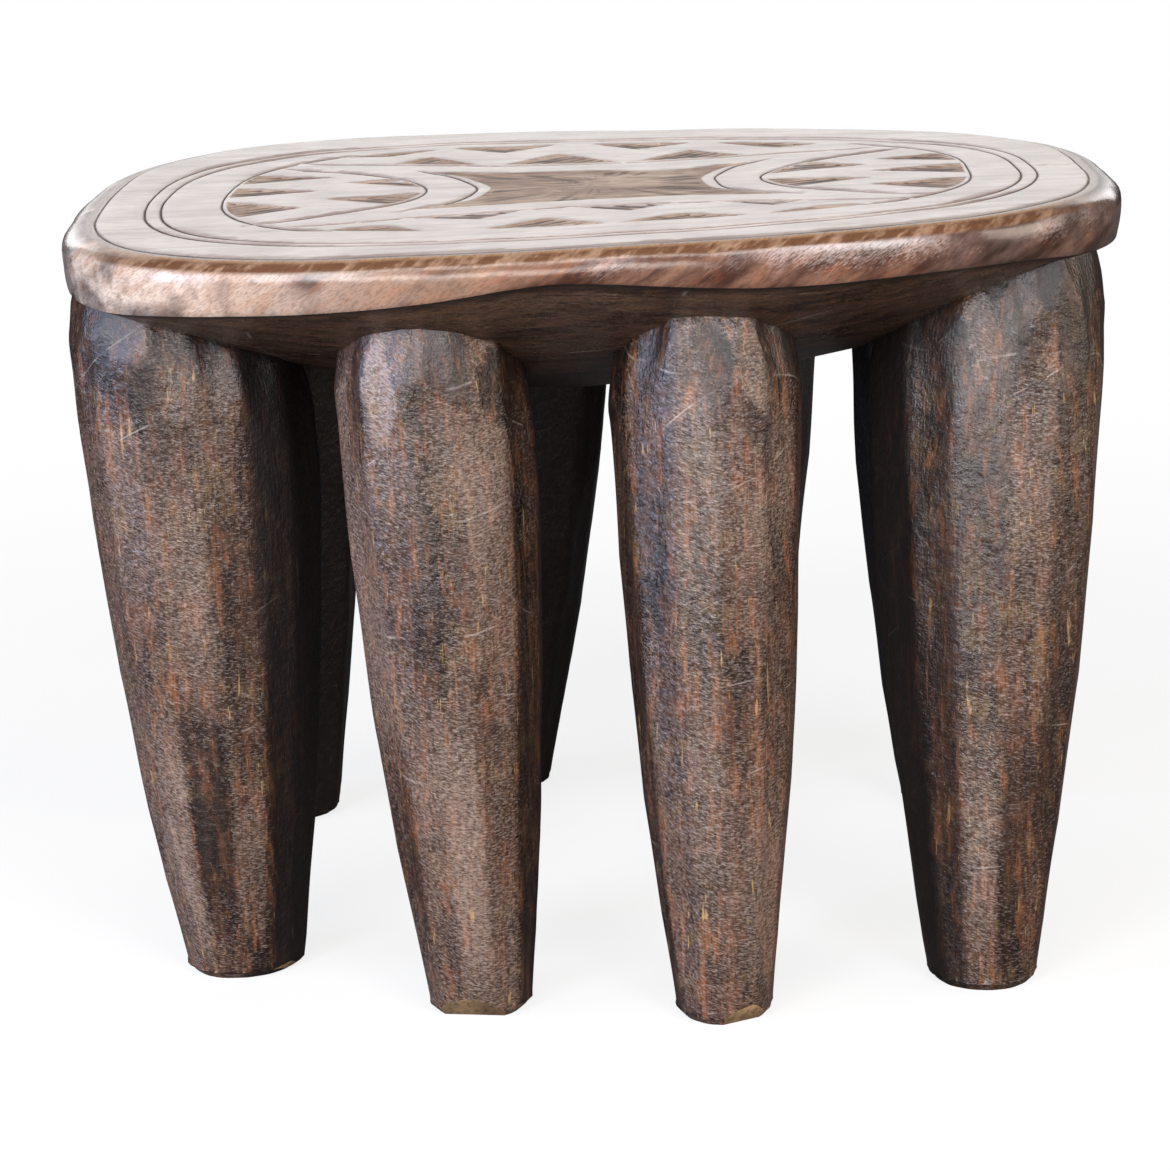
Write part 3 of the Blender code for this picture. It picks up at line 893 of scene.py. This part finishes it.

# %% [markdown]
# Legs and underside were never rubbed clean. Smoke and handling left them dark, near black in streaks and
# orange-brown where worn, with amber flecks and thin pale scratches, and fine pale specks paint the glints of
# their waxy sheen. The scratches could be modelled, but they have hardly any depth, so the crests of a wave
# texture draw them, in patches only.

# %% Scratches
# At a scale of 1 the bands of Blender's wave texture repeat after this length, in metres
band_length = 2.0 * math.pi / 20.0


def scratches(tree, place, turn, spacing):
    """Thin broken lines across a surface: the crests of a wave, kept in patches, mostly high on the legs."""
    across = add_node(tree, "Mapping", {"Vector": place, "Rotation": turn}).outputs[0]
    waves = {"Vector": across, "Scale": band_length / (spacing * MM), "Distortion": 5.0, "Detail": 2.0,
             "Detail Scale": 0.6}
    wave = add_node(tree, "TexWave", waves, bands_direction="Z").outputs["Fac"]
    patch = add_node(tree, "TexNoise", {"Vector": across, "Scale": scale_of(17.0), "Detail": 2.0}).outputs[0]
    height = add_node(tree, "SeparateXYZ", {0: place}).outputs["Z"]
    patch = add_node(tree, "Math", {0: height, 1: 0.5, 2: patch}, operation="MULTIPLY_ADD").outputs[0]
    line = add_node(tree, "MapRange", {"Value": wave, "From Min": 0.9988, "From Max": 0.9999}).outputs[0]
    kept = add_node(tree, "MapRange", {"Value": patch, "From Min": 0.66, "From Max": 0.74}).outputs[0]
    return add_node(tree, "Math", {0: line, 1: kept}, operation="MULTIPLY").outputs[0]


# %% [markdown]
# The patina itself is a stack of thin layers, each laid where a pattern says. The "tone" attribute of the
# mesh is low where shade is painted and high where a leg is rubbed pale or a flat's sheen is painted. One
# list of layers serves legs and underside, which differ in their colours and in the way of their grain.

# %% Smoked patina on legs and underside
# From the bottom up: each layer's colour, its pattern, where that starts and is full, and the layer's share
patina_layers = [
    ("brown", "patches", 0.36, 0.56, 1.0),
    ("olive", "blotches", 0.46, 0.34, 0.6),
    ("orange", "blotches", 0.56, 0.68, 0.25),
    ("dark", "streaks", 0.46, 0.34, 0.8),
    ("orange", "streaks", 0.54, 0.66, 0.6),
    # Paler where the tone is high: wear, and painted sheen on some flats and chops
    ("worn_and_sheen", "tone", 0.45, 0.80, 0.38),
    ("dark", "grain", 0.45, 0.66, 0.65),
    # Fine pale specks, more where the tone is high: painted glints of the waxy sheen
    ("bright", "painted_glint", 0.65, 0.90, 0.4),
    ("amber", "flecks", 0.66, 0.72, 0.7),
]
# Each set of scratches: how it is turned, and its spacing in millimetres
scratch_sets = [((0.5, 0.4, 0.0), 31.0), ((-0.3, 0.2, 0.6), 43.0)]


def smoked_wood(name, grain_way, colours):
    """Hewn hardwood under a smoky patina: dark and waxy, with a broken sheen, painted glints and painted
    shade.
    """
    material, tree, shader = new_material(name)
    wood = wood_patterns(tree, grain_way, blotches=13.0, streaks=3.4, patches=9.0, grain=0.9, flecks=2.6,
                         specks=0.5, pores=4.0)
    wood["tone"] = add_node(tree, "Attribute", attribute_name="tone").outputs["Fac"]
    # Where the painted glints lie: fine specks, more of them where the tone is high
    painted_highlight_mask = {0: wood["tone"], 1: 0.35, 2: wood["specks"]}
    wood["painted_glint"] = add_node(tree, "Math", painted_highlight_mask, operation="MULTIPLY_ADD").outputs[0]
    body = colours["dark"]
    for colour, pattern, low, high, share in patina_layers:
        body = laid_over(tree, body, colours[colour], wood[pattern], low, high, share)
    for turn, spacing in scratch_sets:
        lines = scratches(tree, wood["place"], turn, spacing)
        body = laid_over(tree, body, "#b9ada5", lines, 0.0, 1.0, 0.35)
    # Near black where the tone is low: painted shade on inner faces, under the seat and low on the belly.
    body = laid_over(tree, body, "#0f0b0a", wood["tone"], 0.48, 0.05, 0.92)
    waxed = {"Value": wood["blotches"], "From Min": 0.3, "From Max": 0.7, "To Min": 0.2, "To Max": 0.34}
    rough_in_shade = {"Value": wood["tone"], "From Min": 0.05, "From Max": 0.45, "To Min": 0.45, "To Max": 0.2}
    dull = [add_node(tree, "MapRange", inputs).outputs[0] for inputs in (waxed, rough_in_shade)]
    rough = add_node(tree, "Math", {0: dull[0], 1: dull[1]}, operation="MAXIMUM").outputs[0]
    specks = add_node(tree, "Bump", {"Height": wood["specks"], "Strength": 0.6,
                                     "Distance": 0.2 * MM}).outputs[0]
    dents = add_node(tree, "Bump", {"Height": wood["pores"], "Strength": 0.6, "Distance": 1.0 * MM,
                                    "Normal": specks}).outputs[0]
    fibres = add_node(tree, "Bump", {"Height": wood["grain"], "Strength": 0.4, "Distance": 0.6 * MM,
                                     "Normal": dents}).outputs[0]
    fill_inputs(tree, shader, {"Base Color": body, "Roughness": rough, "Normal": fibres})
    return material


leg_colours = {"dark": "#170e0d", "brown": "#3f291f", "olive": "#654f36", "orange": "#84502e",
               "worn_and_sheen": "#7f6453", "bright": "#baa79d", "amber": "#a98a5c"}
under_colours = {"dark": "#281b15", "brown": "#584236", "olive": "#5c4b3a", "orange": "#684836",
                 "worn_and_sheen": "#6d5749", "bright": "#84705f", "amber": "#7d6750"}
leg_material = smoked_wood("hewn_hardwood_with_smoke_patina", (1.0, 1.0, 7.0), leg_colours)
under_material = smoked_wood("adzed_hardwood_in_shade", (5.0, 1.0, 1.0), under_colours)
print("made", leg_material.name, "and", under_material.name)

# %% [markdown]
# Where a foot was chipped, the wood under the patina shows. It was never waxed, so two layers of colour and a
# coarse relief along the grain are enough.

# %% Bare wood at the chips
# Hardwood broken bare: to the eye straw yellow, dry and matt.
bare_material, tree, shader = new_material("broken_hardwood_bare")
wood = wood_patterns(tree, (1.0, 1.0, 5.0), streaks=13.0, grain=1.6)
bare = laid_over(tree, "#6a543d", "#a88a66", wood["streaks"], 0.35, 0.65)
bare = laid_over(tree, bare, "#40301f", wood["grain"], 0.5, 0.7, 0.7)
fibres = add_node(tree, "Bump", {"Height": wood["grain"], "Strength": 0.6, "Distance": 0.8 * MM}).outputs[0]
fill_inputs(tree, shader, {"Base Color": bare, "Roughness": 0.75, "Normal": fibres})
print("made", bare_material.name)

# %% [markdown]
# The seat's mesh is complete, so it becomes a piece with its three woods, in the place of the CAD seat.

# %% Make the seat
seat_crisp_angle = 55.0
seat_woods = [top_material, rim_material, under_material]
carved_seat = finish_piece("carved_seat", seat, seat_crisp_angle, seat_woods)
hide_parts("seat")
print("seat triangles:", sum(len(face.vertices) - 2 for face in carved_seat.data.polygons))

# %% [markdown]
# ## The hewn legs
#
# Each leg was roughed out with an adze in long downward strokes, which left about a dozen flats from top
# to bottom, with their corners worn soft. It swells from the foot to the seat and meets the underside in a
# curve. So a many-sided ring is extruded upwards, its corners wander a little, and the upright edges get a
# bevel. The CAD leg gives the place of the foot.

# %% Sizes and shapes of the legs
leg_levels = 92
leg_swell_power = 1.9
foot_half_out, foot_half_side = 22.5 * MM, 20.0 * MM
head_half_out, head_half_side = 46.0 * MM, 38.5 * MM
foot_wear = 2.5 * MM
sole_tolerance = 0.1 * MM
shoulder_start, shoulder_rounding = 0.91, 0.08
corner_jitter, corner_sway, girth_sway = 0.28, 0.10, 0.025

# Each leg: the middle of its head in plan (mm), how much fuller than the rest its foot and its head are,
# how many flats it has, and a seed
leg_shapes = {
    "leg_front_left_corner": ((-157.5, -73.0), 1.04, 1.05, 14, 11.0),
    "leg_front_left": ((-60.1, -114.2), 1.00, 1.00, 12, 23.0),
    "leg_front_right": ((43.5, -115.4), 0.93, 0.95, 12, 37.0),
    "leg_front_right_corner": ((152.5, -84.0), 0.94, 1.04, 13, 41.0),
    "leg_back_left_corner": ((-150.7, 80.0), 1.00, 1.00, 12, 53.0),
    "leg_back_left": ((-31.1, 115.7), 1.00, 1.00, 13, 67.0),
    "leg_back_right": ((58.2, 114.3), 1.00, 1.00, 12, 71.0),
    "leg_back_right_corner": ((151.2, 78.9), 1.00, 1.00, 13, 83.0),
}

# How pale a leg's patina is, from 0 to 1, where it differs from the rest
usual_tone = 0.5
leg_tones = {"leg_front_left_corner": 0.53, "leg_front_left": 0.61, "leg_front_right_corner": 0.44}
print("legs:", ", ".join(leg_shapes))

# %% [markdown]
# A leg's corners lie on an oval between the foot's size and the head's, turned to face outwards as the seat's
# edge does there. Noise shifts each corner by its own amount, and a slower noise lets it sway on its way up.
# The factors of the facet only pick different places in the noise, and those of the share set how fast it
# sways.

# %% Where a leg's corners lie
def outward_at(x, y):
    """The way that the seat's edge faces beside a plan place."""
    half_x, half_y, power = outer_edge[:3]
    slope_x = math.copysign(abs(x / half_x) ** (power - 1.0) / half_x, x)
    slope_y = math.copysign(abs(y / half_y) ** (power - 1.0) / half_y, y)
    return Vector((slope_x, slope_y)).normalized()


def foot_middle(node):
    """Plan middle of a CAD leg's foot."""
    low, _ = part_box(node)
    places = np.array([vert.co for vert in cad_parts[node].data.vertices])
    foot = places[places[:, 2] < low.z + sole_tolerance][:, :2]
    return Vector((foot.min(axis=0) + foot.max(axis=0)) / 2.0)


def leg_corner(ends, shape, facet, share):
    """Plan place of one corner of a leg at a share of its height."""
    foot, head = ends
    foot_girth, head_girth, flats, seed = shape[1:]
    swell = 1.0 - (1.0 - share) ** leg_swell_power
    girth = foot_girth + (head_girth - foot_girth) * swell
    jitter = noise.noise((facet * 7.3, seed, 0.0))
    slow = noise.noise((facet * 3.1, seed, share * 3.5))
    turn = 2.0 * math.pi * (facet + corner_jitter * jitter + corner_sway * slow) / flats
    girth *= 1.0 + girth_sway * noise.noise((facet * 5.7, seed, share * 5.0 + 40.0))
    girth *= 1.0 - shoulder_rounding * max(0.0, (share - shoulder_start) / (1.0 - shoulder_start)) ** 2
    out = girth * (foot_half_out + (head_half_out - foot_half_out) * swell) * math.cos(turn)
    side = girth * (foot_half_side + (head_half_side - foot_half_side) * swell) * math.sin(turn)
    if share == 0.0:
        out *= 1.0 - foot_wear / foot_half_out
        side *= 1.0 - foot_wear / foot_half_side
    facing = outward_at(*head)
    middle = foot.lerp(head, share)
    return middle + facing * out + Vector((-facing.y, facing.x)) * side


# %% [markdown]
# Along the flats the adze left shallow hollows, and under the seat, where the carver had little room, shorter
# and deeper chops. A Voronoi noise has cells that are low in the middle and high where they meet, just like
# neighbouring strokes. Each chop is paler or darker by an amount of its own, partly wear and partly painted
# sheen, and the chops under the seat are darkened as painted shade.

# %% Adze strokes
stroke_width, stroke_height, stroke_hollow = 14.0, 56.0, 1.2
chop_width, chop_height, chop_hollow = 12.0, 34.0, 3.2
hollow_level = 0.3
chops_start, chops_fade = 0.80, 0.12
# Chops differ in tone at random, as wear and painted sheen, and are darker under the seat, as painted shade
stroke_wear, chop_sheen_and_wear, head_painted_shade = 0.12, 0.4, 0.14


def hewn(place, share, seed):
    """Adze strokes at a place of a leg: how far the wood stands in or out, and its wear, painted sheen and
    shade.
    """
    x, y, z = place
    across, up = scale_of(stroke_width), scale_of(stroke_height)
    stroke = noise.voronoi((x * across, y * across, z * up + seed))[0][0]
    across, up = scale_of(chop_width), scale_of(chop_height)
    distances, middles = noise.voronoi((x * across, y * across, z * up + seed))
    under_seat = min(max((share - chops_start) / chops_fade, 0.0), 1.0)
    depth = stroke_hollow * (stroke ** 2 - hollow_level)
    depth += chop_hollow * under_seat * (distances[0] ** 2 - hollow_level)
    wear_and_painted_light = (stroke_wear + chop_sheen_and_wear * under_seat) * noise.noise(middles[0] * 3.7) - head_painted_shade * under_seat
    return depth * MM, wear_and_painted_light


# %% [markdown]
# One leg starts as a circle with as many corners as it has flats. Each level is an extrusion of the one
# below, up to the underside that the leg is scribed to. A bevel wears the arrises soft, and finer faces
# across the flats take the strokes. Faces that look to the middle of the stool are darkened as painted shade.

# %% Hew one leg
first_share = 0.011
scribe_overlap = 1.5 * MM
arris_width = 2.2 * MM
widest_edge = 3.7 * MM
flat_cuts = 6
# How much each flat's tone differs at random: partly wear, partly painted sheen
flat_sheen_and_wear = 0.42
shade_start, shade_fade = 0.38, 0.5
sole_height = 1.0 * MM


def hew_leg(node, shape):
    """One leg as a bmesh: a ring extruded level by level, its arrises bevelled and its flats uneven."""
    ends = foot_middle(node), Vector(shape[0]) * MM
    flats, seed = shape[3:]
    tops = []
    for facet in range(flats):
        x, y = leg_corner(ends, shape, facet, 1.0)
        tops.append(seat_top - underside_drop(x, y) - twist * x * y + scribe_overlap)
    leg = bmesh.new()
    leg_tone = leg.verts.layers.float.new("tone")
    flat_layer = leg.faces.layers.float.new("flat")
    ring = bmesh.ops.create_circle(leg, cap_ends=True, segments=flats, radius=foot_half_side)["verts"]
    upright = []
    shares = [0.0] + [max(first_share, level / leg_levels) for level in range(leg_levels + 1)]
    for share in shares:
        places = []
        for facet in range(flats):
            x, y = leg_corner(ends, shape, facet, share)
            places.append(Vector((x, y, share * tops[facet])))
        if share == 0.0:
            for vert, place in zip(ring, places):
                vert.co = place
            continue
        new_ring = extrude_ring(leg, ring, places)
        upright += [leg.edges.get(pair) for pair in zip(ring, new_ring)]
        ring = new_ring
        for facet in range(flats):
            side = leg.edges.get((ring[facet], ring[(facet + 1) % flats]))
            tone = flat_sheen_and_wear * noise.noise((facet * 9.1 + 4.0, seed, share * 2.2))
            side.link_faces[0][flat_layer] = tone
    bmesh.ops.contextual_create(leg, geom=[leg.edges.get((ring[i - 1], ring[i])) for i in range(flats)])
    bmesh.ops.recalc_face_normals(leg, faces=leg.faces)
    bmesh.ops.bevel(leg, geom=upright, offset=arris_width, offset_type="OFFSET", segments=2, profile=0.5,
                    affect="EDGES", material=-1)
    wide = [edge for edge in leg.edges if edge.calc_length() > widest_edge]
    bmesh.ops.subdivide_edges(leg, edges=wide, cuts=flat_cuts, use_grid_fill=True)
    leg.normal_update()
    for vert in leg.verts:
        x, y, z = vert.co
        depth, wear_and_painted_light = hewn(vert.co, z / tops[0], seed)
        # Faces turned to the stool's middle get painted shade: their tone falls towards near black.
        inward = -Vector((x, y, 0.0)).normalized().dot(vert.normal)
        inner_painted_shade = min(max((inward + shade_start) / shade_fade, 0.0), 1.0)
        wear_and_painted_light += sum(face[flat_layer] for face in vert.link_faces) / len(vert.link_faces)
        vert[leg_tone] = (leg_tones.get(node, usual_tone) + wear_and_painted_light) * (1.0 - inner_painted_shade)
        if z > sole_height:
            vert.co = vert.co + vert.normal * depth
    leg.faces.layers.float.remove(flat_layer)
    return leg


# %% [markdown]
# Three of the front legs have lost chips from the edges of their feet. A plane cuts each corner off, and the
# fresh face that fills the cut is bare wood.

# %% Chip the feet and make the legs
leg_crisp_angle = 40.0
bare_slot = 1

# Each chip: the way it faces in plan, how far from the foot's middle it cuts (mm), and its slope
foot_chips = {
    "leg_front_left": [((-0.15, -1.0), 14.0, 0.95), ((0.9, -0.6), 17.5, 0.8)],
    "leg_front_right": [((0.55, -1.0), 15.5, 0.7), ((-0.6, -1.0), 18.5, 0.5)],
    "leg_front_left_corner": [((0.8, -0.7), 19.0, 0.7)],
}


def chip_foot(leg, foot, way, reach, slope):
    """Cut a chip off a foot's edge and close the cut with a face of bare wood."""
    way = Vector(way).normalized()
    at = Vector((*(foot + way * reach * MM), 0.0))
    facing = Vector((way.x, way.y, -slope)).normalized()
    parts = leg.verts[:] + leg.edges[:] + leg.faces[:]
    cut = bmesh.ops.bisect_plane(leg, geom=parts, dist=cut_tolerance, plane_co=at, plane_no=facing,
                                 clear_outer=True)
    edges = [part for part in cut["geom_cut"] if isinstance(part, bmesh.types.BMEdge)]
    closed = bmesh.ops.holes_fill(leg, edges=edges, sides=0)["faces"]
    for face in closed:
        face.material_index = bare_slot
    return len(closed)


chip_faces = 0
leg_triangles = 0
for node, shape in leg_shapes.items():
    leg = hew_leg(node, shape)
    for way, reach, slope in foot_chips.get(node, []):
        chip_faces += chip_foot(leg, foot_middle(node), way, reach, slope)
    piece = finish_piece("hewn_" + node, leg, leg_crisp_angle, [leg_material, bare_material])
    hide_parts(node)
    leg_triangles += sum(len(face.vertices) - 2 for face in piece.data.polygons)
print("leg triangles:", leg_triangles, "with", chip_faces, "faces of bare wood")
